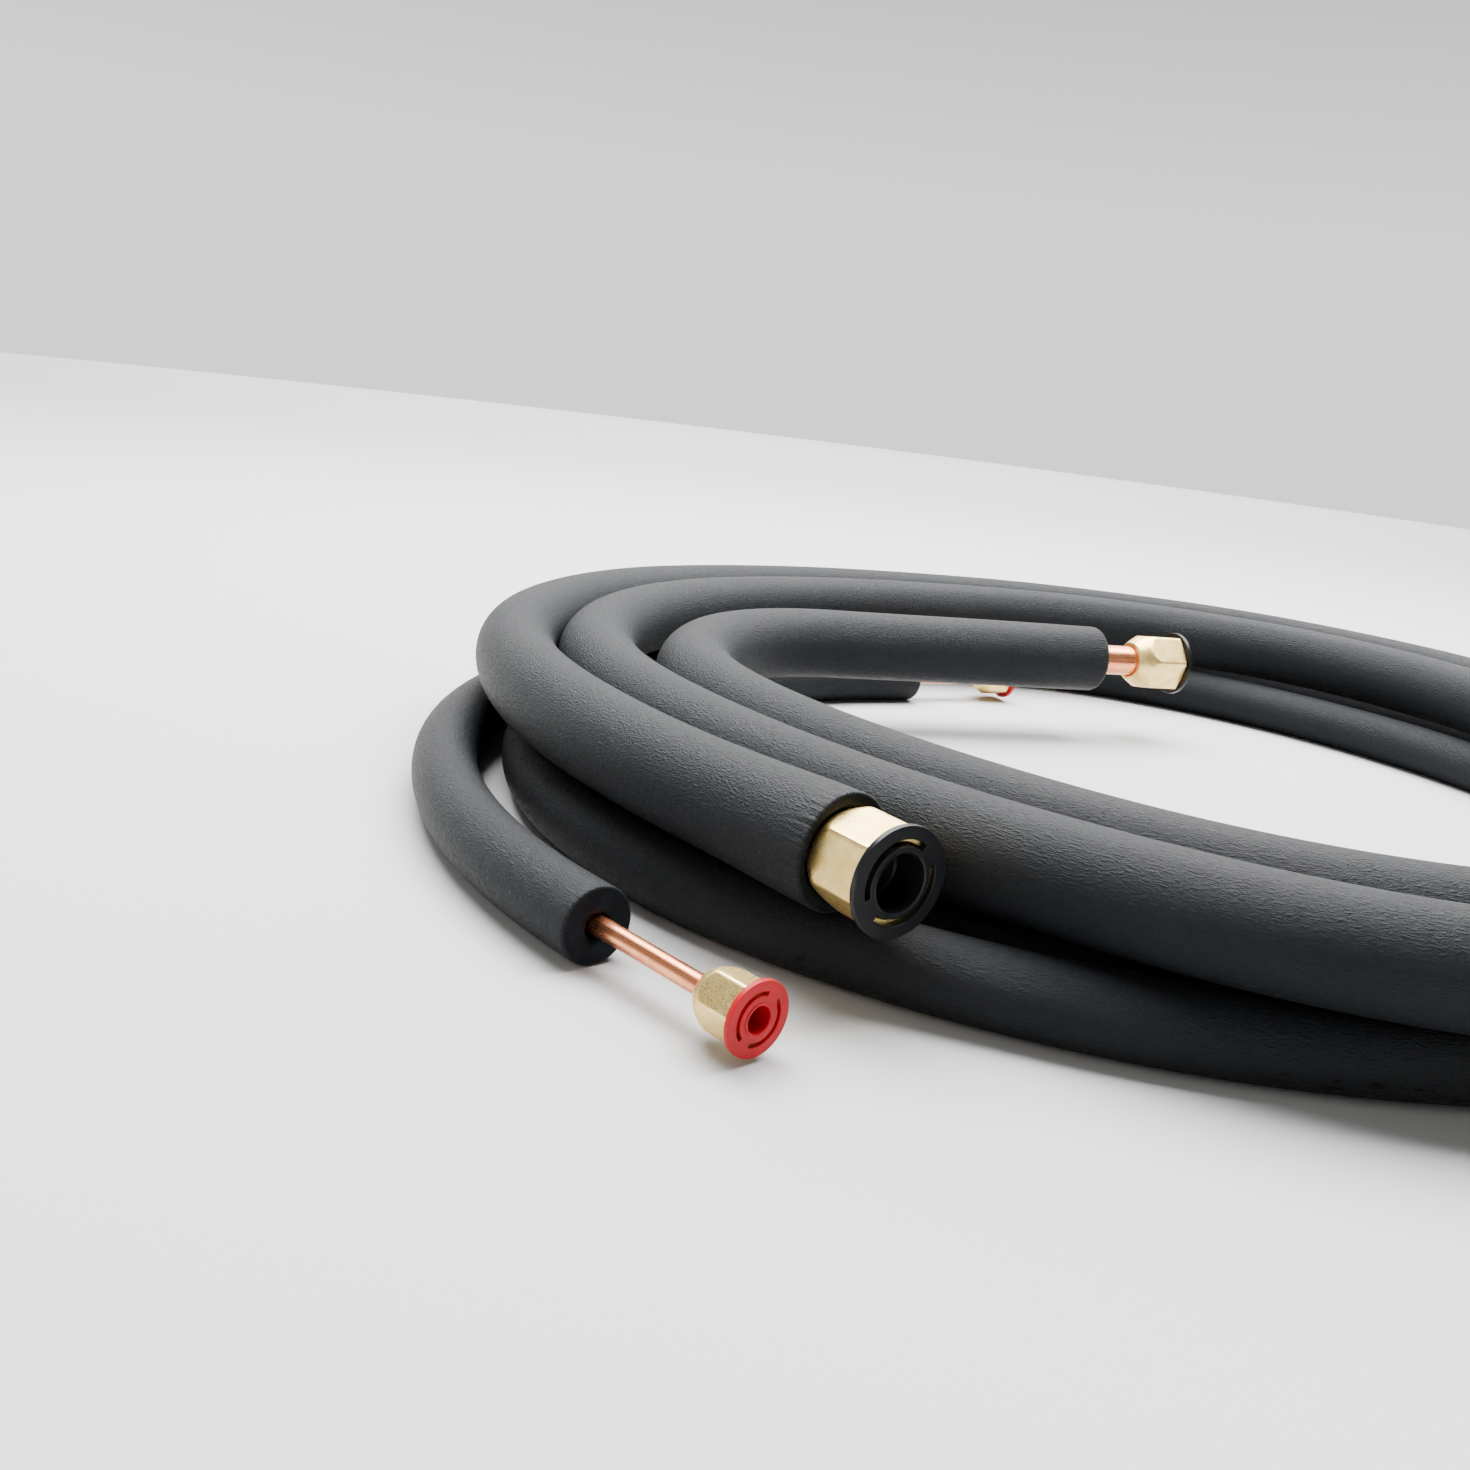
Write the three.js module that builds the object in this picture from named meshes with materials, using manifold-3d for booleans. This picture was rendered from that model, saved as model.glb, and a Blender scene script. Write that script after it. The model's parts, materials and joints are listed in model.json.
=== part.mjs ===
// A coiled pair of insulated copper refrigerant lines, with a flare nut and a transport plug on each end
//
// The large suction line lies in open turns on the small liquid line, which lies on the floor.
// Lengths are in millimetres, bearings in degrees from +X, +Z is up.
// A line is wound clockwise seen from above, and its turning angle is counted from the start bearing.

import * as THREE from "three";
import { mergeVertices } from "three/addons/utils/BufferGeometryUtils.js";
import Module from "manifold-3d";

const wasm = await Module();
wasm.setup();

// Clearances: of touching pieces, of a plug's stem in its thread and between two turns
const seatGap = 0.3;
const stemGap = 0.35;
const turnGap = 0.5;

// Winding
const startBearing = 250;
const stationAngle = 12;
const coilFrom = 24;
const curlUnit = 60;
const leadPower = 2;
const tailPower = 3;
const tangentStep = 0.5;

// Flat sides of the round sections, and steps along each arc of a slot
const sleeveSides = 12;
const boreSides = 8;
const tubeSides = 8;
const turnedSides = 24;
const slotSteps = 10;

// How far a cutting solid runs past the face that it cuts, and how close vertices are merged
const overcut = 1;
const mergeDistance = 1e-4;

// Suction line, the large one
const suction = {
  tubeDiameter: 15.88,
  tubeWall: 1,
  sleeveDiameter: 35,
  sleeveBore: 18,

  coilTo: 816,
  coilRadius: 302.6,
  ovalSwell: 8.6,
  ovalBearing: 76,
  lobeSwell: 13.5,
  lobeBearing: 49.6,
  slack: 3.8,
  slackBearing: 36,
  leadFrom: 0,
  leadFlare: 0,
  tailFrom: 748.5,
  tailCurl: 36.4,
  nearRun: 59.5,
  farRun: 154,

  nearBare: -5,
  nearBend: 6,
  farBare: 22,

  nutFlats: 28,
  nutLength: 27,
  nutBackDiameter: 20.4,
  nutShoulder: 10,
  nutChamfer: 1.8,
  seatDepth: 11,
  threadDiameter: 20.6,
  flareDiameter: 19.4,
  nearNutCorner: 48,
  farNutCorner: 80,

  plugDiameter: 33.6,
  plugThickness: 2,
  plugHole: 17.4,
  plugDepth: 11,
  plugFloor: 1.2,
  slotInner: 21.6,
  slotOuter: 25.6,
  slotBridge: 32,
  nearPlugBridge: 125,
  farPlugBridge: 90,
};

// Liquid line, the small one
const liquid = {
  tubeDiameter: 6.35,
  tubeWall: 0.8,
  sleeveDiameter: 25.4,
  sleeveBore: 8.8,

  coilTo: 840,
  coilRadius: 311.8,
  ovalSwell: 7.9,
  ovalBearing: 40.2,
  lobeSwell: 6,
  lobeBearing: -28.7,
  slack: 26.4,
  slackBearing: 42.2,
  leadFrom: 96.1,
  leadFlare: 14.4,
  tailFrom: 701.4,
  tailCurl: 1.14,
  nearRun: 12.5,
  farRun: 28.5,

  nearBare: 48,
  nearBend: -2,
  farBare: 47,

  nutFlats: 17,
  nutLength: 18,
  nutBackDiameter: 11.4,
  nutShoulder: 6.5,
  nutChamfer: 1.2,
  seatDepth: 7,
  threadDiameter: 9.9,
  flareDiameter: 9.1,
  nearNutCorner: 21,
  farNutCorner: 70,

  plugDiameter: 22,
  plugThickness: 1.7,
  plugHole: 8,
  plugDepth: 7,
  plugFloor: 1,
  slotInner: 13.4,
  slotOuter: 15.8,
  slotBridge: 30,
  nearPlugBridge: 143,
  farPlugBridge: 90,
};

// Layers: the liquid line on the floor, the suction line on top of it
liquid.height = liquid.sleeveDiameter / 2;
suction.height = liquid.sleeveDiameter + seatGap + suction.sleeveDiameter / 2;

// Finishes
const foam = new THREE.MeshStandardMaterial({ color: 0x35383a, roughness: 0.85, metalness: 0 });
const copper = new THREE.MeshStandardMaterial({ color: 0xc27d58, roughness: 0.3, metalness: 1 });
const brass = new THREE.MeshStandardMaterial({ color: 0xcdb57c, roughness: 0.35, metalness: 1 });
const blackPlastic = new THREE.MeshStandardMaterial({ color: 0x17191c, roughness: 0.4, metalness: 0 });
const redPlastic = new THREE.MeshStandardMaterial({ color: 0xc4232f, roughness: 0.45, metalness: 0 });
suction.plugMaterial = blackPlastic;
liquid.plugMaterial = redPlastic;

const up = new THREE.Vector3(0, 0, 1);
const radians = THREE.MathUtils.degToRad;

// Closed solids for cutting and joining
function toSolid(geometry) {
  const bare = geometry.clone();
  bare.deleteAttribute("normal");
  bare.deleteAttribute("uv");
  const merged = mergeVertices(bare, mergeDistance);
  const vertProperties = new Float32Array(merged.getAttribute("position").array);
  const triVerts = new Uint32Array(merged.getIndex().array);
  return new wasm.Manifold(new wasm.Mesh({ numProp: 3, vertProperties, triVerts }));
}

function toGeometry(solid) {
  const mesh = solid.getMesh();
  const geometry = new THREE.BufferGeometry();
  geometry.setAttribute("position", new THREE.BufferAttribute(new Float32Array(mesh.vertProperties), 3));
  geometry.setIndex(new THREE.BufferAttribute(new Uint32Array(mesh.triVerts), 1));
  geometry.computeVertexNormals();
  return geometry;
}

// A regular outline with its corners on a circle, the first one at a given angle
function polygon(radius, sides, firstAngle) {
  const corner = (i) => radians(firstAngle + (360 * i) / sides);
  return Array.from({ length: sides }, (_, i) => (
    new THREE.Vector2(radius * Math.cos(corner(i)), radius * Math.sin(corner(i)))
  ));
}

// The same with its flats on the circle, one of them facing each way that the first axis points
function flatPolygon(radius, sides) {
  const half = 180 / sides;
  return polygon(radius / Math.cos(radians(half)), sides, half);
}

// A solid turned about Z from points of radius and height that start and end on the axis
function turned(points) {
  const profile = points.map(([radius, height]) => new THREE.Vector2(radius, height));
  return new THREE.LatheGeometry(profile, turnedSides).rotateX(Math.PI / 2);
}

// Distance of a line's centre from the coil's centre at a turning angle:
// each turn lies inside the one before, touching it on one side and with slack on the other
function coilRadiusAt(line, angle) {
  const bearing = startBearing - angle;
  const oval = line.ovalSwell * Math.cos(radians(2 * (bearing - line.ovalBearing)));
  const lobes = line.lobeSwell * Math.cos(radians(3 * (bearing - line.lobeBearing)));
  const open = line.slack * (1 + Math.cos(radians(bearing - line.slackBearing))) / 2;
  const inward = (line.sleeveDiameter + turnGap + open) * angle / 360;
  const lead = line.leadFlare * (Math.max(line.leadFrom - angle, 0) / curlUnit) ** leadPower;
  const tail = line.tailCurl * (Math.max(angle - line.tailFrom, 0) / curlUnit) ** tailPower;
  return line.coilRadius + oval + lobes - inward + lead - tail;
}

function coilPoint(line, angle) {
  const bearing = radians(startBearing - angle);
  const radius = coilRadiusAt(line, angle);
  return new THREE.Vector3(radius * Math.cos(bearing), radius * Math.sin(bearing), line.height);
}

// A place on the line: its centre, the heading along it and the side away from the coil's centre
function place(point, heading) {
  return { point, heading, side: new THREE.Vector3().crossVectors(up, heading), scale: 1 };
}

function coilPlace(line, angle) {
  const ahead = coilPoint(line, angle + tangentStep);
  const heading = ahead.sub(coilPoint(line, angle - tangentStep)).normalize();
  return place(coilPoint(line, angle), heading);
}

function further(from, distance, scale = 1) {
  const moved = place(from.point.clone().addScaledVector(from.heading, distance), from.heading);
  return { ...moved, scale };
}

// The tube bears on the inner side of the sleeve's bore
function tubeShift(line) {
  return -(line.sleeveBore / 2 - line.tubeDiameter / 2 - seatGap);
}

function tubeCentre(line, from) {
  return from.point.clone().addScaledVector(from.side, tubeShift(line));
}

// A place turned level about the tube's centre there
function bent(line, from, degrees) {
  const moved = place(tubeCentre(line, from), from.heading.clone().applyAxisAngle(up, radians(degrees)));
  moved.point.addScaledVector(moved.side, -tubeShift(line));
  return moved;
}

// The line's places in the coil, its sleeve's ends at the end of a straight run, and its nuts' backs.
// The near end of the tube is bent outwards where it leaves the sleeve or enters a pushed-in nut.
function routeOf(line) {
  const coil = [];
  for (let angle = coilFrom; angle <= line.coilTo; angle += stationAngle) {
    coil.push(coilPlace(line, angle));
  }
  const near = further(coil[0], -line.nearRun);
  const far = further(coil[coil.length - 1], line.farRun);
  const leaving = further(near, -Math.min(line.nearBare, 0));
  const bend = bent(line, leaving, -line.nearBend / 2);
  const nearBack = further(bent(line, leaving, -line.nearBend), -Math.max(line.nearBare, 0));
  const farBack = further(far, line.farBare);
  return { near, coil, far, bend, nearBack, farBack };
}

// A ring section swept through the places, moved sideways by a fixed amount
function sweep(outline, hole, places, sideways) {
  const shape = new THREE.Shape(outline);
  shape.holes.push(new THREE.Path(hole));
  const steps = places.length - 1;
  const geometry = new THREE.ExtrudeGeometry(shape, { depth: 1, steps, bevelEnabled: false });
  const position = geometry.getAttribute("position");
  for (let i = 0; i < position.count; i += 1) {
    const { point, side, scale } = places[Math.round(position.getZ(i) * steps)];
    const vertex = point.clone();
    vertex.addScaledVector(side, sideways + scale * position.getX(i));
    vertex.addScaledVector(up, scale * position.getY(i));
    position.setXYZ(i, vertex.x, vertex.y, vertex.z);
  }
  geometry.computeVertexNormals();
  return geometry;
}

// The frame of an end fitting: the nut's back on the tube's axis, its own Z pointing off the line's end
function endFrame(line, back, direction) {
  const outward = back.heading.clone().multiplyScalar(direction);
  const across = new THREE.Vector3().crossVectors(up, outward);
  return new THREE.Matrix4().makeBasis(across, up, outward).setPosition(tubeCentre(line, back));
}

// Radius of the nut's tapered shoulder at a height above its back
function shoulderRadius(line, height) {
  const back = line.nutBackDiameter / 2;
  const corner = line.nutFlats / 2 / Math.cos(radians(30));
  return back + (corner - back) * height / line.nutShoulder;
}

// Flare nut: a hexagon with a tapered shoulder and chamfered front corners
function nutGeometry(line, cornerAngle) {
  const cornerRadius = line.nutFlats / 2 / Math.cos(radians(30));
  const hexagon = new THREE.Shape(polygon(cornerRadius, 6, 90 + cornerAngle));
  const body = new THREE.ExtrudeGeometry(hexagon, { depth: line.nutLength, bevelEnabled: false });
  const envelopeRadius = cornerRadius + overcut;
  const envelopeHeight = line.nutShoulder * (1 + overcut / (cornerRadius - line.nutBackDiameter / 2));
  const envelope = turned([
    [0, 0],
    [line.nutBackDiameter / 2, 0],
    [envelopeRadius, envelopeHeight],
    [envelopeRadius, line.nutLength - line.nutChamfer / 2],
    [cornerRadius - line.nutChamfer, line.nutLength],
    [0, line.nutLength],
  ]);
  const holeRadius = line.tubeDiameter / 2 + seatGap;
  const threadRadius = line.threadDiameter / 2;
  const bore = turned([
    [0, -overcut],
    [holeRadius, -overcut],
    [holeRadius, line.seatDepth],
    [threadRadius, line.seatDepth + threadRadius - holeRadius],
    [threadRadius, line.nutLength + overcut],
    [0, line.nutLength + overcut],
  ]);
  return toGeometry(toSolid(body).intersect(toSolid(envelope)).subtract(toSolid(bore)));
}

// One of the plug's two curved slots, halfway round between the bridges
function slotShape(line, middle) {
  const half = radians(90 - line.slotBridge / 2);
  const slot = new THREE.Path();
  slot.absarc(0, 0, line.slotOuter / 2, radians(middle) - half, radians(middle) + half, false);
  slot.absarc(0, 0, line.slotInner / 2, radians(middle) + half, radians(middle) - half, true);
  slot.closePath();
  return slot;
}

// Transport plug: a slotted flange on the nut's face and a hollow stem in its thread
function plugGeometry(line, bridgeAngle) {
  const face = new THREE.Shape(polygon(line.plugDiameter / 2, turnedSides, 0));
  face.holes.push(new THREE.Path(polygon(line.plugHole / 2, turnedSides, 0)));
  face.holes.push(slotShape(line, bridgeAngle), slotShape(line, bridgeAngle + 180));
  const flange = new THREE.ExtrudeGeometry(face, {
    depth: line.plugThickness,
    bevelEnabled: false,
    curveSegments: slotSteps,
  });
  const stemRadius = line.threadDiameter / 2 - stemGap;
  const join = line.plugThickness / 2;
  const stem = turned([
    [0, -line.plugDepth],
    [stemRadius, -line.plugDepth],
    [stemRadius, join],
    [line.plugHole / 2, join],
    [line.plugHole / 2, line.plugFloor - line.plugDepth],
    [0, line.plugFloor - line.plugDepth],
  ]);
  return toGeometry(toSolid(flange).add(toSolid(stem)));
}

// The taper cut in a sleeve's end where the nut's shoulder is pushed into the foam
function mouthGeometry(line) {
  const tilted = (line.sleeveDiameter / 2) * Math.tan(radians(Math.abs(line.nearBend)));
  const reach = tilted - line.nearBare + overcut;
  return turned([
    [0, -overcut],
    [shoulderRadius(line, -overcut) + seatGap, -overcut],
    [shoulderRadius(line, reach) + seatGap, reach],
    [0, reach],
  ]);
}

function sleeveGeometry(line, route) {
  const places = [route.near, ...route.coil, route.far];
  const outline = flatPolygon(line.sleeveDiameter / 2, sleeveSides);
  const bore = flatPolygon(line.sleeveBore / 2, boreSides);
  const ring = sweep(outline, bore, places, 0);
  if (line.nearBare >= 0) {
    return ring;
  }
  const mouth = mouthGeometry(line).applyMatrix4(endFrame(line, route.nearBack, -1));
  return toGeometry(toSolid(ring).subtract(toSolid(mouth)));
}

// Tube: both ends run on through their nuts and are flared against the nuts' seats
function tubeGeometry(line, route) {
  const flareScale = line.flareDiameter / line.tubeDiameter;
  const flareLength = (line.flareDiameter - line.tubeDiameter) / 2;
  const root = line.seatDepth + seatGap;
  const places = [
    further(route.nearBack, -root - flareLength, flareScale),
    further(route.nearBack, -root),
    route.bend,
    ...route.coil,
    further(route.farBack, root),
    further(route.farBack, root + flareLength, flareScale),
  ];
  const outline = polygon(line.tubeDiameter / 2, tubeSides, 0);
  const hole = polygon(line.tubeDiameter / 2 - line.tubeWall, tubeSides, 0);
  return sweep(outline, hole, places, tubeShift(line));
}

function named(name, geometry, material) {
  const mesh = new THREE.Mesh(geometry, material.clone());
  mesh.name = name;
  return mesh;
}

// A nut and its plug, in the frame of one end
function fitting(line, name, end, frame, cornerAngle, bridgeAngle) {
  const group = new THREE.Group();
  const nut = named(`${name}_nut_${end}`, nutGeometry(line, cornerAngle), brass);
  const plug = named(`${name}_plug_${end}`, plugGeometry(line, bridgeAngle), line.plugMaterial);
  plug.position.z = line.nutLength + seatGap;
  group.add(nut, plug);
  group.applyMatrix4(frame);
  return group;
}

function lineGroup(line, name) {
  const route = routeOf(line);
  const group = new THREE.Group();
  group.add(named(`${name}_insulation`, sleeveGeometry(line, route), foam));
  group.add(named(`${name}_tube`, tubeGeometry(line, route), copper));
  const nearFrame = endFrame(line, route.nearBack, -1);
  const farFrame = endFrame(line, route.farBack, 1);
  group.add(fitting(line, name, "near", nearFrame, line.nearNutCorner, line.nearPlugBridge));
  group.add(fitting(line, name, "far", farFrame, line.farNutCorner, line.farPlugBridge));
  return group;
}

const lineSet = new THREE.Group();
lineSet.add(lineGroup(suction, "suction"), lineGroup(liquid, "liquid"));

// The origin is on the floor below the middle of the whole set
lineSet.updateMatrixWorld(true);
const middle = new THREE.Box3().setFromObject(lineSet, true).getCenter(new THREE.Vector3());
lineSet.position.set(-middle.x, -middle.y, 0);
lineSet.updateMatrixWorld(true);

export default lineSet;
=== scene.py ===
"""Looks of a coiled pair of insulated copper refrigerant lines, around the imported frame."""

import json
import math

import bpy
import numpy as np
from mathutils import Matrix, Vector


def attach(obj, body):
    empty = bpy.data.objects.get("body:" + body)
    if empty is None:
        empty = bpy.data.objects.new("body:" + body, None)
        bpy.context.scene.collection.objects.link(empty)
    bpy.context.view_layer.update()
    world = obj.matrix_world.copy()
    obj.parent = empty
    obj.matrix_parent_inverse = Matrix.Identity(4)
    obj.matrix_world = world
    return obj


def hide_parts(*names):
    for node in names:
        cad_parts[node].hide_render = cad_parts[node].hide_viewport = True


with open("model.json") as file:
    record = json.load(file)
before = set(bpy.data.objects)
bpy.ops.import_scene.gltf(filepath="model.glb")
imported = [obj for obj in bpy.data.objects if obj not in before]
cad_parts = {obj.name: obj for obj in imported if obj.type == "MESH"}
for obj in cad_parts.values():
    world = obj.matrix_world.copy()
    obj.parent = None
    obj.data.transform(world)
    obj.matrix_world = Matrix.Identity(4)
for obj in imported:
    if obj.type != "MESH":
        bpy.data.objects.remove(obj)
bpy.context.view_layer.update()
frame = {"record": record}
MM = 0.001

# Camera: where the photograph was taken from, in millimetres from the coil's centre on the floor
PHOTO_SIZE = 1470
FOCAL_PIXELS = 1421
CAMERA_PLACE = (-196.8, -641.6, 175.8)
CAMERA_PITCH = math.radians(-14.63)
CAMERA_ROLL = math.radians(7.11)
SENSOR_WIDTH = 36

# Winding of the coils, as in the part's source
START_BEARING = 250
COIL_FROM = 24
CURL_UNIT = 60
LEAD_POWER = 2
TAIL_POWER = 3
TANGENT_STEP = 0.5
SEAT_GAP = 0.3
TURN_GAP = 0.5

SUCTION = dict(
    name="suction", tube=15.88, wall=1, sleeve=35, bore=18,
    coil_to=816, radius=302.6, oval=8.6, oval_bearing=76, lobe=13.5, lobe_bearing=49.6,
    slack=3.8, slack_bearing=36, lead_from=0, lead_flare=0, tail_from=748.5, tail_curl=36.4,
    near_run=59.5, far_run=154, near_bare=-5, near_bend=6, far_bare=22, end_swell=1.2, gathers=1,
    flats=28, nut_length=27, nut_back=20.4, shoulder=10, chamfer=1.8, seat_depth=11,
    thread=20.6, thread_crest=22.2, pitch=1.814, flare=19.4, near_corner=48, far_corner=80,
    plug=33.6, plug_thickness=2, plug_hole=17.4, plug_depth=11, plug_floor=1.2,
    slot_inner=21.6, slot_outer=25.6, slot_bridge=32, near_bridge=125, far_bridge=90,
    plug_slot="black_plug",
)
LIQUID = dict(
    name="liquid", tube=6.35, wall=0.8, sleeve=25.4, bore=8.8,
    coil_to=840, radius=311.8, oval=7.9, oval_bearing=40.2, lobe=6, lobe_bearing=-28.7,
    slack=26.4, slack_bearing=42.2, lead_from=96.1, lead_flare=14.4, tail_from=701.4, tail_curl=1.14,
    near_run=12.5, far_run=28.5, near_bare=48, near_bend=-2, far_bare=47, end_swell=0, gathers=0.25,
    flats=17, nut_length=18, nut_back=11.4, shoulder=6.5, chamfer=1.2, seat_depth=7,
    thread=9.9, thread_crest=11.0, pitch=1.27, flare=9.1, near_corner=21, far_corner=70,
    plug=22, plug_thickness=1.7, plug_hole=8, plug_depth=7, plug_floor=1,
    slot_inner=13.4, slot_outer=15.8, slot_bridge=30, near_bridge=143, far_bridge=90,
    plug_slot="red_plug",
)
LIQUID["height"] = LIQUID["sleeve"] / 2
SUCTION["height"] = LIQUID["sleeve"] + SEAT_GAP + SUCTION["sleeve"] / 2
UP = np.array((0.0, 0.0, 1.0))


def make_camera():
    """A camera at the photograph's place, looking along +Y, down and rolled."""
    forward = Vector((0, math.cos(CAMERA_PITCH), math.sin(CAMERA_PITCH)))
    level = Vector((1, 0, 0))
    above = level.cross(forward)
    right = math.cos(CAMERA_ROLL) * level + math.sin(CAMERA_ROLL) * above
    top = -math.sin(CAMERA_ROLL) * level + math.cos(CAMERA_ROLL) * above
    camera = bpy.data.objects.new("camera", bpy.data.cameras.new("camera"))
    camera.data.sensor_width = SENSOR_WIDTH
    camera.data.lens = SENSOR_WIDTH * FOCAL_PIXELS / PHOTO_SIZE
    camera.data.clip_start = 0.01
    turn = Matrix((right, top, -forward)).transposed().to_4x4()
    place = MM * (CENTRE + np.array(CAMERA_PLACE))
    camera.matrix_world = Matrix.Translation(place.tolist()) @ turn
    bpy.context.collection.objects.link(camera)
    bpy.context.scene.camera = camera


# Routes of the two lines

def coil_radius(line, angle):
    """Distance of a line's centre from the coil's centre, in millimetres."""
    bearing = START_BEARING - angle
    oval = line["oval"] * np.cos(np.radians(2 * (bearing - line["oval_bearing"])))
    lobes = line["lobe"] * np.cos(np.radians(3 * (bearing - line["lobe_bearing"])))
    opening = line["slack"] * (1 + np.cos(np.radians(bearing - line["slack_bearing"]))) / 2
    inward = (line["sleeve"] + TURN_GAP + opening) * angle / 360
    lead = line["lead_flare"] * (np.maximum(line["lead_from"] - angle, 0) / CURL_UNIT) ** LEAD_POWER
    tail = line["tail_curl"] * (np.maximum(angle - line["tail_from"], 0) / CURL_UNIT) ** TAIL_POWER
    return line["radius"] + oval + lobes - inward + lead - tail


def coil_points(line, angles):
    """Points of the line's centre about the coil's centre, in millimetres."""
    bearing = np.radians(START_BEARING - angles)
    radius = coil_radius(line, angles)
    height = np.full_like(angles, line["height"])
    return np.stack([radius * np.cos(bearing), radius * np.sin(bearing), height], axis=1)


def headings(line, angles):
    """Unit directions along the line, clockwise seen from above."""
    step = coil_points(line, angles + TANGENT_STEP) - coil_points(line, angles - TANGENT_STEP)
    return step / np.linalg.norm(step, axis=1)[:, None]


def route(line, spacing):
    """Points, headings and distances from the near sleeve end, about the coil's centre, in millimetres."""
    steps = int(math.radians(line["coil_to"] - COIL_FROM) * line["radius"] * 0.9 / spacing)
    angles = np.linspace(COIL_FROM, line["coil_to"], steps)
    coil, along = coil_points(line, angles), headings(line, angles)
    near = np.linspace(line["near_run"], 0, max(2, round(line["near_run"] / spacing)), endpoint=False)
    far = np.linspace(line["far_run"], 0, max(2, round(line["far_run"] / spacing)), endpoint=False)[::-1]
    points = np.concatenate([coil[0] - near[:, None] * along[0], coil, coil[-1] + far[:, None] * along[-1]])
    heading = np.concatenate([np.repeat(along[:1], len(near), 0), along, np.repeat(along[-1:], len(far), 0)])
    distance = np.concatenate([[0], np.cumsum(np.linalg.norm(np.diff(points, axis=0), axis=1))])
    return points, heading, distance


def joint(name):
    """The record's joint of that name."""
    return next(j for j in frame["record"]["behaviour"]["joints"] if j["name"] == name)


def tube_shift(line):
    """How far the tube lies from the sleeve's middle, towards the coil's centre."""
    return line["bore"] / 2 - line["tube"] / 2 - SEAT_GAP


def coil_centre():
    """The coil's centre in the row frame, in millimetres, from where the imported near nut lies."""
    points, heading, _ = route(SUCTION, 3)
    side = np.cross(UP, heading[0])
    nut = points[0] - side * tube_shift(SUCTION) - heading[0] * SUCTION["near_bare"]
    packed = np.array(joint("suction_nut_near_turn")["pos_m"]) / MM
    return packed - nut


CENTRE = coil_centre()


# Mesh helpers

def add_object(name, verts, faces, smooth=True):
    """A mesh object in the scene from vertices in metres."""
    mesh = bpy.data.meshes.new(name)
    mesh.from_pydata(verts, [], faces)
    mesh.validate()
    mesh.update()
    mesh.polygons.foreach_set("use_smooth", [smooth] * len(mesh.polygons))
    piece = bpy.data.objects.new(name, mesh)
    bpy.context.collection.objects.link(piece)
    return piece


def loop_faces(rings, sides, closed):
    """Quads between rings of equally many vertices, the last ring joined to the first if closed."""
    faces = []
    last = rings if closed else rings - 1
    for row in range(last):
        a, b = row * sides, ((row + 1) % rings) * sides
        for i in range(sides):
            j = (i + 1) % sides
            faces.append((a + i, a + j, b + j, b + i))
    return faces


def dress(piece, body, slot, replaced, *materials):
    """Gives a piece its body and materials, and hides the replaced node. The slot is not used."""
    for material in materials:
        piece.data.materials.append(material)
    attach(piece, body)
    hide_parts(replaced)


# Materials

class Nodes:
    """A material's node tree, with short calls to add and join nodes."""

    def __init__(self, name):
        self.material = bpy.data.materials.new(name)
        self.material.use_nodes = True
        self.tree = self.material.node_tree
        self.shader = self.tree.nodes["Principled BSDF"]

    def add(self, kind, inputs=None, **settings):
        node = self.tree.nodes.new(kind)
        for key, value in settings.items():
            setattr(node, key, value)
        for key, value in (inputs or {}).items():
            if isinstance(value, bpy.types.NodeSocket):
                self.tree.links.new(value, node.inputs[key])
            else:
                node.inputs[key].default_value = value
        return node

    def set(self, **values):
        for key, value in values.items():
            socket = self.shader.inputs[key if key == "IOR" else key.replace("_", " ").title()]
            if isinstance(value, bpy.types.NodeSocket):
                self.tree.links.new(value, socket)
            else:
                socket.default_value = value

    def noise(self, vector, scale, detail=3.0, roughness=0.5):
        node = self.add("ShaderNodeTexNoise", {"Vector": vector, "Scale": scale, "Detail": detail, "Roughness": roughness})
        return node.outputs["Fac"]

    def stretched(self, vector, scale):
        node = self.add("ShaderNodeMapping", {"Vector": vector, "Scale": scale})
        return node.outputs["Vector"]

    def math(self, operation, a, b=0.0):
        return self.add("ShaderNodeMath", {0: a, 1: b}, operation=operation).outputs[0]

    def ramp(self, factor, low, high, dark, light):
        """A colour or grey that runs from dark to light as factor runs from low to high."""
        node = self.add("ShaderNodeValToRGB", {"Fac": factor})
        node.color_ramp.elements[0].position = low
        node.color_ramp.elements[1].position = high
        node.color_ramp.elements[0].color = dark
        node.color_ramp.elements[1].color = light
        return node.outputs["Color"]

    def remap(self, value, low, high, to_low, to_high):
        inputs = {"Value": value, "From Min": low, "From Max": high, "To Min": to_low, "To Max": to_high}
        return self.add("ShaderNodeMapRange", inputs).outputs["Result"]

    def bump(self, height, strength, distance, under=None):
        inputs = {"Height": height, "Strength": strength, "Distance": distance}
        if under is not None:
            inputs["Normal"] = under
        return self.add("ShaderNodeBump", inputs).outputs["Normal"]


def grey(value, blue=0.0):
    return (value, value * (1 + blue * 0.4), value * (1 + blue), 1)


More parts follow.
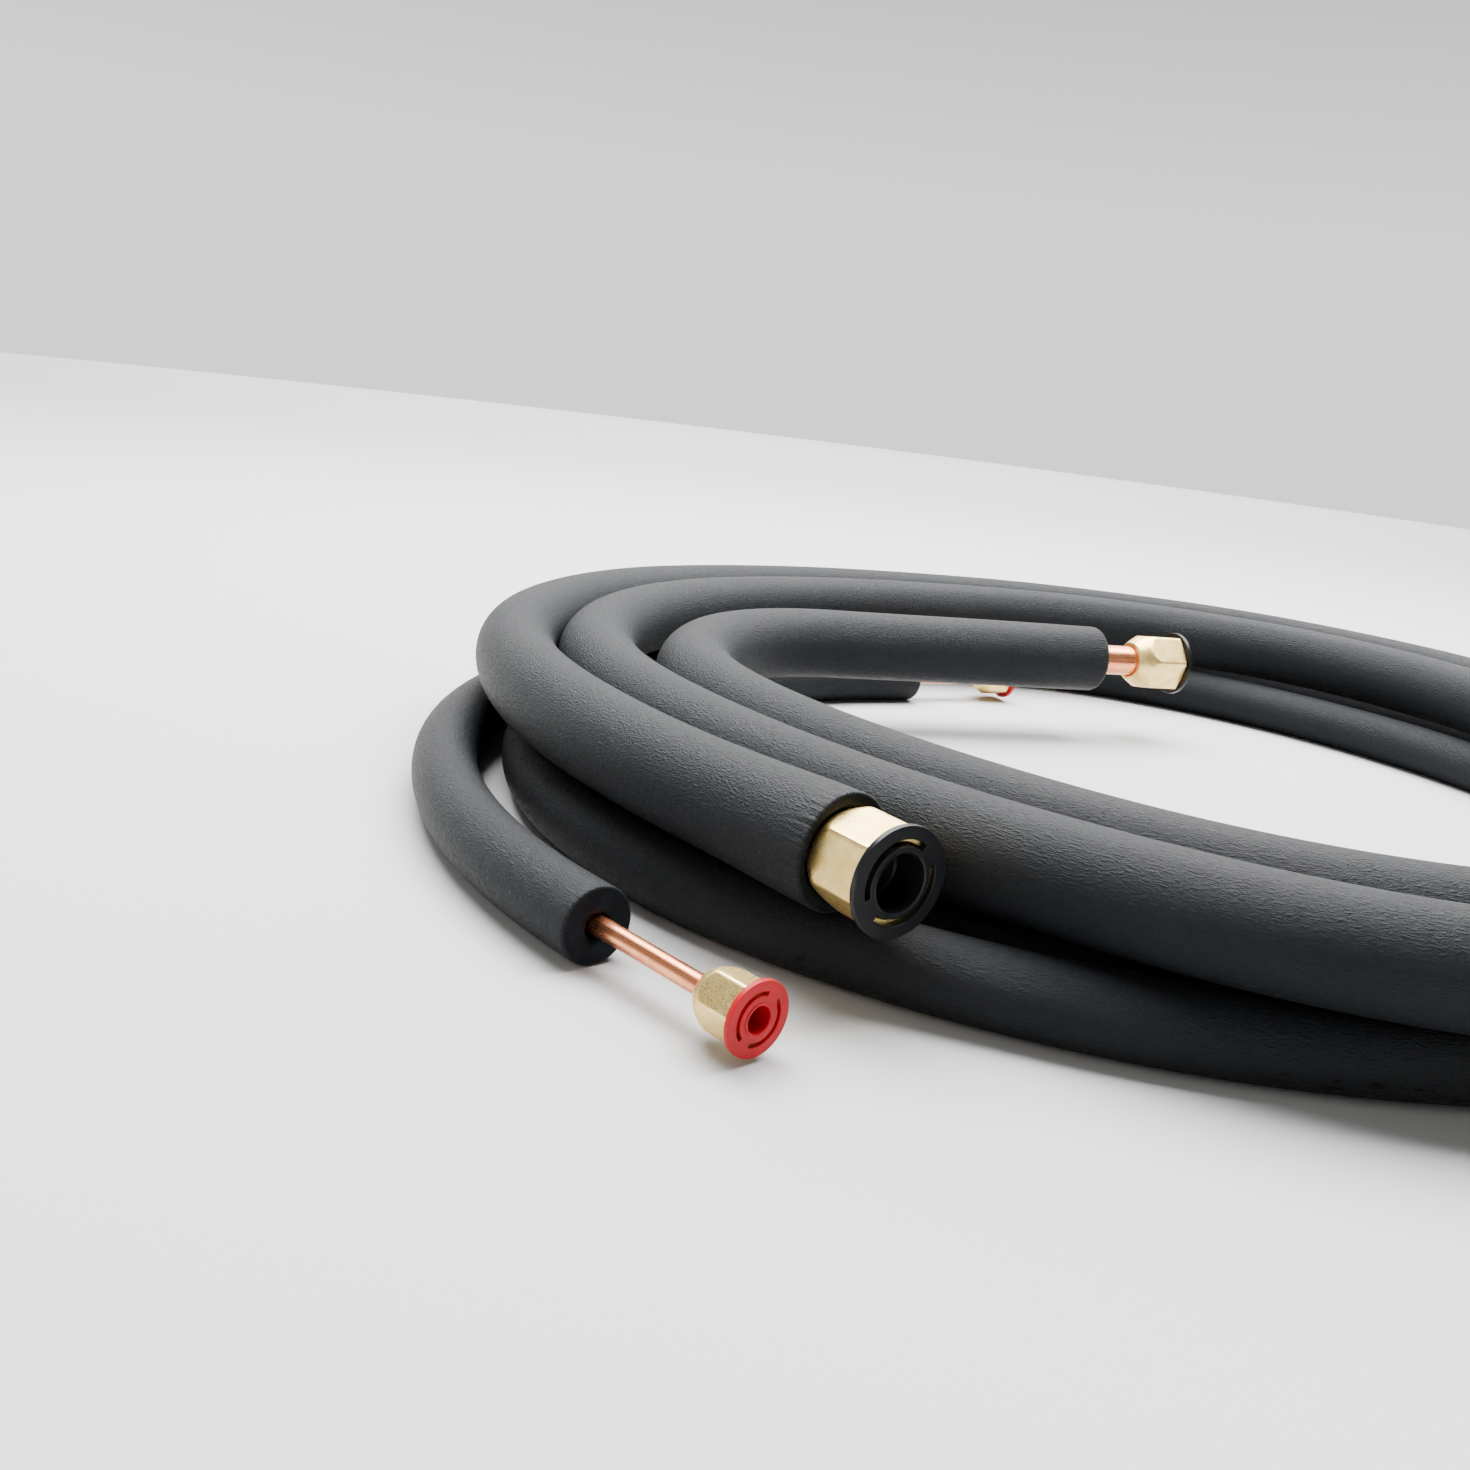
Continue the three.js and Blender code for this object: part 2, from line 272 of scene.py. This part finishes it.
def foam_skin():
    """The extruded skin of the sleeves: wavy leathery creases, and short gathers round each cut end."""
    n = Nodes("foam_skin")
    uv = n.add("ShaderNodeUVMap", uv_map="skin").outputs["UV"]
    place = n.add("ShaderNodeTexCoord").outputs["Object"]
    at_end = n.add("ShaderNodeAttribute", attribute_name="gathers").outputs["Fac"]
    pitted = n.add("ShaderNodeAttribute", attribute_name="pitted").outputs["Fac"]
    creases = n.noise(n.stretched(uv, (300, 760, 1)), 1.0, 4.0, 0.6)
    folds = n.math("ABSOLUTE", n.math("SUBTRACT", creases, 0.5))
    grain = n.noise(place, 1500, 2.0, 0.6)
    waves = n.noise(place, 45, 2.0)
    gathers = n.noise(n.stretched(uv, (50, 620, 1)), 1.0, 1.0)
    gathered = n.math("MULTIPLY", gathers, at_end)
    holes = n.noise(n.stretched(uv, (170, 420, 1)), 1.0, 1.0)
    pits = n.math("MULTIPLY", n.remap(holes, 0.6, 0.66, 0.0, 1.0), pitted)
    under = n.bump(waves, 0.25, 0.0015)
    under = n.bump(gathered, 1.0, 0.0013, under)
    under = n.bump(folds, 1.0, 0.0012, under)
    under = n.bump(n.math("MULTIPLY", pits, -1.0), 1.0, 0.0012, under)
    normal = n.bump(grain, 0.3, 0.0002, under)
    mottled = n.noise(place, 14, 4.0, 0.6)
    worn = n.math("ADD", n.math("MULTIPLY", creases, 0.6), n.math("MULTIPLY", mottled, 0.4))
    colour = n.ramp(worn, 0.35, 0.68, grey(0.0035, 1.1), grey(0.009, 0.25))
    # Painted shade: the pits are mixed to near-black, as shade in the hollows.
    dark = n.add("ShaderNodeMix", {"Factor": pits, "A": colour, "B": grey(0.002)}, data_type="RGBA")
    n.set(base_color=dark.outputs["Result"], roughness=n.remap(creases, 0.3, 0.7, 0.42, 0.6), normal=normal)
    n.set(IOR=1.25)
    return n.material


def foam_cut_painted_shade():
    """The smooth face left by the knife, with fine closed cells, coloured darker and bluer than the skin: painted
    shade over the foam's own near-black.
    """
    n = Nodes("foam_cut_painted_shade")
    place = n.add("ShaderNodeTexCoord").outputs["Object"]
    cells = n.add("ShaderNodeTexVoronoi", {"Vector": place, "Scale": 2200.0}).outputs["Distance"]
    # Painted shade: the cut face's colour is set darker and bluer than the skin's.
    colour = n.ramp(n.noise(place, 300, 3.0), 0.35, 0.7, grey(0.002, 1.6), grey(0.005, 1.2))
    n.set(base_color=colour, roughness=0.6, normal=n.bump(cells, 0.3, 0.0002))
    n.set(IOR=1.2)
    return n.material


def copper():
    """Soft drawn tube: long draw marks, faint tarnish and warm satin reflections."""
    n = Nodes("copper")
    uv = n.add("ShaderNodeUVMap", uv_map="skin").outputs["UV"]
    place = n.add("ShaderNodeTexCoord").outputs["Object"]
    draw = n.noise(n.stretched(uv, (25, 2600, 1)), 1.0, 3.0)
    tarnish = n.noise(place, 120, 4.0, 0.6)
    colour = n.ramp(tarnish, 0.35, 0.75, (0.98, 0.40, 0.20, 1), (0.74, 0.20, 0.09, 1))
    rough = n.remap(n.math("ADD", draw, tarnish), 0.6, 1.4, 0.2, 0.38)
    n.set(base_color=colour, metallic=1.0, roughness=rough, normal=n.bump(draw, 0.25, 0.00008))
    return n.material


def brass():
    """Forged nut: fine sandy flats, brighter where the bar was turned."""
    n = Nodes("nut_brass")
    place = n.add("ShaderNodeTexCoord").outputs["Object"]
    sand = n.noise(place, 2600, 2.0, 0.7)
    stain = n.noise(place, 160, 4.0, 0.6)
    colour = n.ramp(n.math("ADD", n.math("MULTIPLY", sand, 0.45), n.math("MULTIPLY", stain, 0.55)),
                    0.36, 0.64, (0.74, 0.48, 0.13, 1), (1.0, 0.78, 0.33, 1))
    rough = n.remap(sand, 0.35, 0.65, 0.26, 0.46)
    n.set(base_color=colour, metallic=1.0, roughness=rough, normal=n.bump(sand, 0.35, 0.00012))
    return n.material


def plastic(name, dark, light, rough, density):
    """Moulded polyethylene with a faint flow pattern."""
    n = Nodes(name)
    place = n.add("ShaderNodeTexCoord").outputs["Object"]
    flow = n.noise(place, 90, 3.0)
    skin = n.noise(place, 1800, 2.0)
    n.set(base_color=n.ramp(flow, 0.3, 0.7, dark, light), roughness=rough, normal=n.bump(skin, 0.12, 0.0001))
    n.set(IOR=density)
    return n.material


# Solids made of rings along a line

class Course:
    """A line's places by distance from its near sleeve end, in millimetres, straight beyond both ends."""

    def __init__(self, line):
        self.points, self.headings, self.distances = route(line, 1.5)
        self.length = self.distances[-1]

    def at(self, distance):
        inside = min(max(distance, 0), self.length)
        point = np.array([np.interp(inside, self.distances, column) for column in self.points.T])
        heading = np.array([np.interp(inside, self.distances, column) for column in self.headings.T])
        heading = heading / np.linalg.norm(heading)
        return point + CENTRE + (distance - inside) * heading, heading


class BentCourse(Course):
    """The same for the tube, whose near end is turned outwards where it leaves the sleeve or enters the nut."""

    def __init__(self, line):
        super().__init__(line)
        self.pivot = max(-line["near_bare"], 0)
        self.bend = math.radians(-line["near_bend"])
        self.shift = tube_shift(line)

    def at(self, distance):
        if distance > self.pivot:
            return super().at(distance)
        point, heading = super().at(self.pivot)
        centre = point - self.shift * np.cross(UP, heading)
        bend = self.bend / 2 if distance == self.pivot else self.bend
        turned = heading * math.cos(bend) + np.cross(UP, heading) * math.sin(bend)
        centre = centre + (distance - self.pivot) * turned
        return centre + self.shift * np.cross(UP, turned), turned


def ring_solid(name, course, profile, sides, width):
    """A closed mesh from rings of (distance, radius, shift, material index), with a skin layer.

    A radius may be a function that gives the ring's points from their angles instead. The skin layer
    measures metres along and around the line."""
    turn = np.linspace(0, 2 * math.pi, sides, endpoint=False) - math.pi / 2
    verts = []
    for distance, radius, shift, _ in profile:
        if callable(radius):
            verts.append(radius(turn) * MM)
            continue
        point, heading = course.at(distance)
        side = np.cross(UP, heading)
        around = np.cos(turn)[:, None] * side + np.sin(turn)[:, None] * UP
        radii = np.broadcast_to(radius, turn.shape)[:, None]
        verts.append((point - shift * side + radii * around) * MM)
    faces = loop_faces(len(profile), sides, True)
    piece = add_object(name, np.concatenate(verts).tolist(), faces)
    mesh = piece.data
    along = np.array([row[0] for row in profile])
    row = np.arange(len(faces)) // sides
    column = np.arange(len(faces)) % sides
    following = (row + 1) % len(profile)
    u = np.stack([along[row], along[row], along[following], along[following]], axis=1)
    v = np.stack([column, column + 1, column + 1, column], axis=1) * (math.pi * width / sides)
    layer = mesh.uv_layers.new(name="skin")
    layer.data.foreach_set("uv", (np.stack([u, v], axis=2) * MM).ravel())
    kinds = np.array([row[3] for row in profile])
    mesh.polygons.foreach_set("material_index", np.maximum(kinds[row], kinds[following]))
    return piece


# Foam sleeves

SLEEVE_SIDES = 56
SLEEVE_SPACING = 3.0
BORE_SPACING = 24
NEAR_ROUNDING = 0.9
FAR_ROUNDING = 3.2
ROUNDING_STEPS = (90, 72, 54, 36, 18, 0)
END_SWELL_REACH = 34
GATHER_REACH = 12
MOUTH_SPREAD = 1.2
SKIN, CUT = 0, 1

# Marks on the small line at the front: places in millimetres along it, and degrees round it from below
NICK_DISTANCE, NICK_ANGLE, NICK_WIDTH, NICK_DEPTH = 1793, 72, 1.6, 1.8
PITS_DISTANCE, PITS_REACH, PITS_ANGLE, PITS_SPREAD = 1630, 45, 62, 26


def shoulder_radius(line, height):
    """Radius of the nut's tapered shoulder at a height above its back, in millimetres."""
    back = line["nut_back"] / 2
    corner = line["flats"] / 2 / math.cos(math.radians(30))
    return back + (corner - back) * height / line["shoulder"]


def softness(distance, angles, seed):
    """How far the foam's skin dips, from 0 to about 0.4 mm, in long shallow waves."""
    wave = np.sin(distance / 61 + seed) * np.cos(angles * 2 + distance / 83)
    wave = wave + 0.6 * np.sin(distance / 23 + 2 * seed + 1.3 * np.sin(angles + seed))
    return 0.12 * (1.6 + wave)


def mouth_ring(line, course, at_face):
    """The taper cut round a pushed-in nut: its ring at the nut's back, or where it meets the cut face."""
    bent = BentCourse(line)
    face_point, face_heading = course.at(0)
    start, heading = bent.at(bent.pivot - 1e-6)
    side = np.cross(UP, heading)
    axis_point = start - bent.shift * side
    deep = shoulder_radius(line, 0) + SEAT_GAP
    slope = shoulder_radius(line, 1) + SEAT_GAP - deep + MOUTH_SPREAD / bent.pivot

    def points(turn):
        out = np.cos(turn)[:, None] * side + np.sin(turn)[:, None] * UP
        height = np.zeros(len(turn))
        if at_face:
            to_face = (axis_point - face_point) @ face_heading + deep * (out @ face_heading)
            height = to_face / (heading @ face_heading - slope * (out @ face_heading))
        radius = deep + slope * height
        return axis_point - height[:, None] * heading + radius[:, None] * out

    return points


def rounded_edge(radius):
    """Insets and drops of a cut end's rounded edge, from the cut face to the skin."""
    steps = [math.radians(step) for step in ROUNDING_STEPS]
    return [(radius * (1 - math.cos(step)), radius * (1 - math.sin(step))) for step in steps[::-1]]


def nick(line, distance, angles):
    """Depth of the small cut in the skin at a distance, in millimetres."""
    around = (angles - math.radians(NICK_ANGLE)) * line["sleeve"] / 2
    away = ((distance - NICK_DISTANCE) ** 2 + around ** 2) / NICK_WIDTH ** 2
    return NICK_DEPTH * np.exp(-away)


def sleeve_profile(line, course):
    """Rings of one sleeve: skin, two rounded cut faces, bore, and the mouth round a pushed-in nut."""
    outer = line["sleeve"] / 2
    bore = line["bore"] / 2
    length = course.length
    mouth = max(-line["near_bare"], 0)
    angles = np.linspace(0, 2 * math.pi, SLEEVE_SIDES, endpoint=False)
    rings = rounded_edge(NEAR_ROUNDING)
    middle = np.arange(NEAR_ROUNDING + SLEEVE_SPACING, length - FAR_ROUNDING - 1, SLEEVE_SPACING)
    if line is LIQUID:
        close = np.arange(NICK_DISTANCE - 3 * NICK_WIDTH, NICK_DISTANCE + 3 * NICK_WIDTH, NICK_WIDTH / 3)
        middle = np.sort(np.concatenate([middle, close]))
    rings += [(distance, 0) for distance in middle]
    rings += [(length - inset, drop) for inset, drop in rounded_edge(FAR_ROUNDING)[::-1]]
    profile = []
    for distance, drop in rings:
        swell = line["end_swell"] * math.exp(-(distance / END_SWELL_REACH) ** 2)
        radius = outer + swell - drop - softness(distance, angles, outer)
        if line is LIQUID:
            radius = radius - nick(line, distance, angles)
        profile.append((distance, radius, 0, SKIN))
    far_rim = outer - FAR_ROUNDING
    profile += [(length, bore + (far_rim - bore) * share, 0, CUT) for share in (0.9, 0.6, 0.25)]
    profile.append((length, bore, 0, CUT))
    for distance in np.arange(length - 4, mouth + 2, -BORE_SPACING):
        profile.append((distance, bore, 0, CUT))
    inner = bore
    if mouth:
        profile.append((mouth + 1, bore, 0, CUT))
        profile.append((mouth, mouth_ring(line, course, False), 0, CUT))
        profile.append((0, mouth_ring(line, course, True), 0, CUT))
        inner = shoulder_radius(line, mouth) + SEAT_GAP + MOUTH_SPREAD + 0.9
    else:
        profile.append((0, bore, 0, CUT))
    near_rim = outer + line["end_swell"] - NEAR_ROUNDING
    profile += [(0, inner + (near_rim - inner) * share, 0, CUT) for share in (0.3, 0.7, 0.9)]
    return profile


def add_layer(piece, name, values):
    layer = piece.data.attributes.new(name, "FLOAT", "POINT")
    layer.data.foreach_set("value", values.ravel())


def add_marks(piece, line, course, profile):
    """Layers for the gathers round the cut ends, and for the pitted patch of the small line."""
    along = np.array([row[0] for row in profile])[:, None]
    nearest = np.minimum(along, course.length - along)
    gathers = line["gathers"] * np.clip(1 - nearest / GATHER_REACH, 0, 1)
    add_layer(piece, "gathers", np.repeat(gathers, SLEEVE_SIDES, axis=1))
    angles = np.linspace(0, 360, SLEEVE_SIDES, endpoint=False)[None, :]
    away = ((along - PITS_DISTANCE) / PITS_REACH) ** 2 + ((angles - PITS_ANGLE) / PITS_SPREAD) ** 2
    amount = np.clip(1.6 - 1.6 * away, 0, 1) if line is LIQUID else np.zeros(away.shape)
    add_layer(piece, "pitted", amount)


def make_sleeve(line, course, skin, cut):
    name = line["name"] + "_foam_sleeve"
    profile = sleeve_profile(line, course)
    piece = ring_solid(name, course, profile, SLEEVE_SIDES, line["sleeve"])
    add_marks(piece, line, course, profile)
    dress(piece, "lines", "foam", line["name"] + "_insulation", skin, cut)
    return piece


# Copper tubes

TUBE_SIDES = 32
TUBE_SPACING = 8.0


def tube_profile(line, course):
    """Rings of one tube: outside, flared lips at both ends, and inside."""
    outer = line["tube"] / 2
    flare = line["flare"] / 2
    wall = line["wall"]
    shift = tube_shift(line)
    near_root = -(line["near_bare"] + line["seat_depth"] + SEAT_GAP)
    far_root = course.length + line["far_bare"] + line["seat_depth"] + SEAT_GAP
    flared = flare - outer
    start = course.pivot - TUBE_SPACING * int((course.pivot - near_root - 1) / TUBE_SPACING)
    middle = np.arange(start, far_root - 2, TUBE_SPACING)
    outside = [(near_root - flared, flare), (near_root - flared * 0.5, outer + flared * 0.5), (near_root, outer)]
    outside += [(distance, outer) for distance in middle]
    outside += [(far_root, outer), (far_root + flared * 0.5, outer + flared * 0.5), (far_root + flared, flare)]
    inside = [(far_root + flared + wall * 0.4, flare - wall * 0.6), (far_root + wall * 0.4, outer - wall)]
    inside += [(distance, outer - wall) for distance in middle[::-4]]
    inside += [(near_root - wall * 0.4, outer - wall), (near_root - flared - wall * 0.4, flare - wall * 0.6)]
    return [(distance, radius, shift, 0) for distance, radius in outside + inside]


def make_tube(line, course, material):
    name = line["name"] + "_copper_tube"
    piece = ring_solid(name, course, tube_profile(line, course), TUBE_SIDES, line["tube"])
    dress(piece, "lines", "copper", line["name"] + "_tube", material)
    return piece


# Flare nuts

NUT_SIDES = 144
EDGE_SOFTNESS = 0.35


def soft_least(first, second, softness_width):
    """The smaller of two radii, with their crossing rounded off."""
    gap = np.maximum(softness_width - np.abs(first - second), 0) / softness_width
    return np.minimum(first, second) - gap * gap * softness_width / 4


def hexagon(line, corner, angles):
    """Radius of the hexagon at each angle, with its corners rounded."""
    apothem = line["flats"] / 2
    from_corner = np.mod(angles - math.radians(90 + corner), math.pi / 3)
    radius = apothem / np.cos(from_corner - math.pi / 6)
    return soft_least(radius, np.full_like(radius, apothem / math.cos(math.pi / 6) - 0.15), EDGE_SOFTNESS)


def nut_rings(line, corner):
    """Rings of (radius at each angle, height): shoulder, flats, chamfer, face, thread, seat and hole."""
    angles = np.linspace(0, 2 * math.pi, NUT_SIDES, endpoint=False)
    flats = hexagon(line, corner, angles)
    length, chamfer, shoulder = line["nut_length"], line["chamfer"], line["shoulder"]
    round_all = np.ones_like(angles)
    hole = line["tube"] / 2 + SEAT_GAP
    thread, crest = line["thread"] / 2, line["thread_crest"] / 2
    corner_radius = line["flats"] / 2 / math.cos(math.pi / 6)
    back = line["nut_back"] / 2
    rings = [(back * round_all - 0.5, 0.0), (back * round_all - 0.12, 0.1)]
    for height in np.linspace(0.35, shoulder + 0.6, 16):
        cone = shoulder_radius(line, height) + 0.35 * math.sin(math.pi * min(height / shoulder, 1))
        rings.append((soft_least(flats, cone * round_all, EDGE_SOFTNESS * 1.6), height))
    for height in np.linspace(shoulder + 1.2, length - chamfer - 0.2, 4):
        rings.append((flats, height))
    for share in np.linspace(0, 1, 9):
        front = corner_radius + 0.3 - (chamfer + 0.3) * share
        height = length - chamfer / 2 * (1 - share)
        rings.append((soft_least(flats, front * round_all, EDGE_SOFTNESS), height))
    face = rings[-1][0]
    lip = crest + 0.5
    for share in (0.3, 0.65, 1.0):
        rings.append((face + (lip - face) * share, length + 0.02 * share))
    seat_end = line["seat_depth"] + thread - hole
    turns = int((length - 1 - seat_end) / line["pitch"])
    for turn in range(turns):
        top = length - 0.7 - turn * line["pitch"]
        rings.append((crest * round_all, top))
        rings.append((thread * round_all, top - line["pitch"] / 2))
    rings.append((thread * round_all, seat_end))
    rings.append((hole * round_all, line["seat_depth"]))
    rings.append((hole * round_all, line["seat_depth"] / 2))
    rings.append((hole * round_all, 0.4))
    rings.append((hole * round_all + 0.4, 0.0))
    return angles, rings


def end_matrix(axis_joint):
    """The frame of an end fitting, from the nut's joint: its back's centre, across, up and outward."""
    outward = Vector(axis_joint["axis"]).normalized()
    across = Vector((0, 0, 1)).cross(outward)
    turn = Matrix((across, Vector((0, 0, 1)), outward)).transposed().to_4x4()
    return Matrix.Translation(axis_joint["pos_m"]) @ turn


def make_nut(line, end, material):
    node = f"{line['name']}_nut_{end}"
    angles, rings = nut_rings(line, line[end + "_corner"])
    verts = []
    for radius, height in rings:
        ring = np.stack([radius * np.cos(angles), radius * np.sin(angles), np.full_like(angles, height)], axis=1)
        verts.append(ring * MM)
    piece = add_object(node + "_forging", np.concatenate(verts).tolist(), loop_faces(len(rings), NUT_SIDES, True))
    piece.data.set_sharp_from_angle(angle=math.radians(32))
    piece.matrix_world = end_matrix(joint(node + "_turn"))
    dress(piece, node, "nut_brass", node, material)
    return piece


# Transport plugs

PLUG_SIDES = 96
PLUG_EDGE = 0.22


def arc(radius, start, end, steps):
    """Points of an arc, in degrees, as three-part vectors."""
    angles = np.radians(np.linspace(start, end, steps))
    return [(radius * math.cos(a), radius * math.sin(a), 0) for a in angles]


def flange_outline(line, bridge):
    """Closed outlines of the flange: rim, stem hole and two curved slots."""
    half = 90 - line["slot_bridge"] / 2
    outlines = [arc(line["plug"] / 2 - PLUG_EDGE, 0, 360 * (1 - 1 / PLUG_SIDES), PLUG_SIDES)]
    outlines.append(arc(line["plug_hole"] / 2 + PLUG_EDGE, 0, 360 * (1 - 1 / PLUG_SIDES), PLUG_SIDES))
    for middle in (bridge, bridge + 180):
        outside = arc(line["slot_outer"] / 2 + PLUG_EDGE, middle - half, middle + half, 33)
        inside = arc(line["slot_inner"] / 2 - PLUG_EDGE, middle + half, middle - half, 33)
        outlines.append(outside + inside)
    return outlines


def flange_mesh(line, bridge):
    """The slotted flange, its edges rounded, standing on the nut's face."""
    curve = bpy.data.curves.new("flange", "CURVE")
    curve.dimensions = "2D"
    curve.fill_mode = "BOTH"
    curve.extrude = (line["plug_thickness"] / 2 - PLUG_EDGE) * MM
    curve.bevel_depth = PLUG_EDGE * MM
    curve.bevel_resolution = 2
    for outline in flange_outline(line, bridge):
        spline = curve.splines.new("POLY")
        spline.points.add(len(outline) - 1)
        for point, place in zip(spline.points, outline):
            point.co = (*(MM * c for c in place), 1)
        spline.use_cyclic_u = True
    holder = bpy.data.objects.new("flange", curve)
    mesh = bpy.data.meshes.new_from_object(holder)
    bpy.data.objects.remove(holder)
    bpy.data.curves.remove(curve)
    mesh.transform(Matrix.Translation((0, 0, line["plug_thickness"] / 2 * MM)))
    return mesh


def stem_profile(line):
    """Radius and height of the hollow stem, from the outside of its floor to the inside of its floor."""
    outer = line["thread"] / 2 - SEAT_GAP - 0.05
    inner = line["plug_hole"] / 2
    deep = -line["plug_depth"]
    top = line["plug_thickness"]
    floor = deep + line["plug_floor"]
    return [
        (0.02, deep), (outer - 0.8, deep), (outer - 0.3, deep + 0.15), (outer, deep + 0.8), (outer, 0.3),
        (outer + 0.3, 0.6), (inner + 0.9, 0.6), (inner + 0.9, top + 0.1), (inner + 0.7, top + 0.28),
        (inner + 0.3, top + 0.28), (inner + 0.05, top + 0.1), (inner, top - 0.3), (inner - 0.15, floor + 0.6),
        (inner - 0.7, floor), (0.02, floor),
    ]


def make_plug(line, end, material):
    node = f"{line['name']}_plug_{end}"
    angles = np.linspace(0, 2 * math.pi, PLUG_SIDES, endpoint=False)
    verts = []
    for radius, height in stem_profile(line):
        ring = np.stack([radius * np.cos(angles), radius * np.sin(angles), np.full_like(angles, height)], axis=1)
        verts.append(ring * MM)
    piece = add_object(node + "_moulding", np.concatenate(verts).tolist(),
                       loop_faces(len(verts), PLUG_SIDES, True))
    flange = bpy.data.objects.new("flange", flange_mesh(line, line[end + "_bridge"]))
    bpy.context.collection.objects.link(flange)
    with bpy.context.temp_override(active_object=piece, selected_editable_objects=[piece, flange]):
        bpy.ops.object.join()
    piece.data.polygons.foreach_set("use_smooth", [True] * len(piece.data.polygons))
    piece.data.set_sharp_from_angle(angle=math.radians(40))
    lift = Matrix.Translation((0, 0, (line["nut_length"] + SEAT_GAP) * MM))
    piece.matrix_world = end_matrix(joint(f"{line['name']}_nut_{end}_turn")) @ lift
    dress(piece, node, line["plug_slot"], node, material)
    return piece


# Floor and light

FLOOR_RADIUS = 3.2
FLOOR_SIDES = 96
BACKDROP_FROM_TO = (0.1, 0.6)
OVERHEAD_FROM_TO = (0.12, 0.45)


def make_floor():
    material = Nodes("floor")
    material.set(base_color=(0.55, 0.55, 0.55, 1), roughness=0.95)
    rim = [(x, y, 0) for x, y, _ in arc(FLOOR_RADIUS, 0, 360 * (1 - 1 / FLOOR_SIDES), FLOOR_SIDES)]
    floor = add_object("floor", rim, [tuple(range(FLOOR_SIDES))])
    floor.data.materials.append(material.material)


def make_light(name, place, target, size, watts, colour=(1, 1, 1)):
    light = bpy.data.lights.new(name, "AREA")
    light.shape = "RECTANGLE"
    light.size, light.size_y = size
    light.energy = watts
    light.color = colour
    holder = bpy.data.objects.new(name, light)
    direction = Vector(target) - Vector(place)
    holder.matrix_world = Matrix.Translation(place) @ direction.to_track_quat("-Z", "Y").to_matrix().to_4x4()
    bpy.context.collection.objects.link(holder)


def make_world(above, around, behind):
    """A pale surround, darkest overhead and brightest where a backdrop would stand, on the +Y side."""
    world = bpy.data.worlds.new("studio")
    world.use_nodes = True
    tree = world.node_tree
    place = tree.nodes.new("ShaderNodeTexCoord")
    split = tree.nodes.new("ShaderNodeSeparateXYZ")
    tree.links.new(place.outputs["Generated"], split.inputs["Vector"])

    def level(value, limits, low, high):
        node = tree.nodes.new("ShaderNodeMapRange")
        tree.links.new(value, node.inputs["Value"])
        node.inputs["From Min"].default_value, node.inputs["From Max"].default_value = limits
        for name, amount in (("To Min", low), ("To Max", high)):
            if isinstance(amount, bpy.types.NodeSocket):
                tree.links.new(amount, node.inputs[name])
            else:
                node.inputs[name].default_value = amount
        return node.outputs["Result"]

    sideways = level(split.outputs["Y"], BACKDROP_FROM_TO, around, behind)
    background = tree.nodes["Background"]
    background.inputs["Color"].default_value = (0.99, 1, 0.99, 1)
    tree.links.new(level(split.outputs["Z"], OVERHEAD_FROM_TO, sideways, above), background.inputs["Strength"])
    bpy.context.scene.world = world


def main():
    make_camera()
    skin, cut = foam_skin(), foam_cut_painted_shade()
    tube_metal, nut_metal = copper(), brass()
    plugs = {
        "suction": plastic("black_plug", grey(0.004, 0.3), grey(0.007, 0.3), 0.3, 1.3),
        "liquid": plastic("red_plug", (0.36, 0.001, 0.006, 1), (0.46, 0.002, 0.010, 1), 0.42, 1.28),
    }
    for line in (SUCTION, LIQUID):
        course = Course(line)
        make_sleeve(line, course, skin, cut)
        make_tube(line, BentCourse(line), tube_metal)
        for end in ("near", "far"):
            make_nut(line, end, nut_metal)
            make_plug(line, end, plugs[line["name"]])
    make_floor()
    make_world(0.25, 0.75, 1.35)
    make_light("overhead", (0.0, 0.45, 1.5), (0, 0, 0), (2.2, 1.4), 195)
    make_light("backdrop", (0.0, 2.8, 1.6), (0, 2.8, 0), (5, 1.6), 240)
    make_light("front_left", (-1.2, -1.1, 0.9), (0, 0, 0), (0.9, 0.9), 5, (1, 0.96, 0.9))


main()
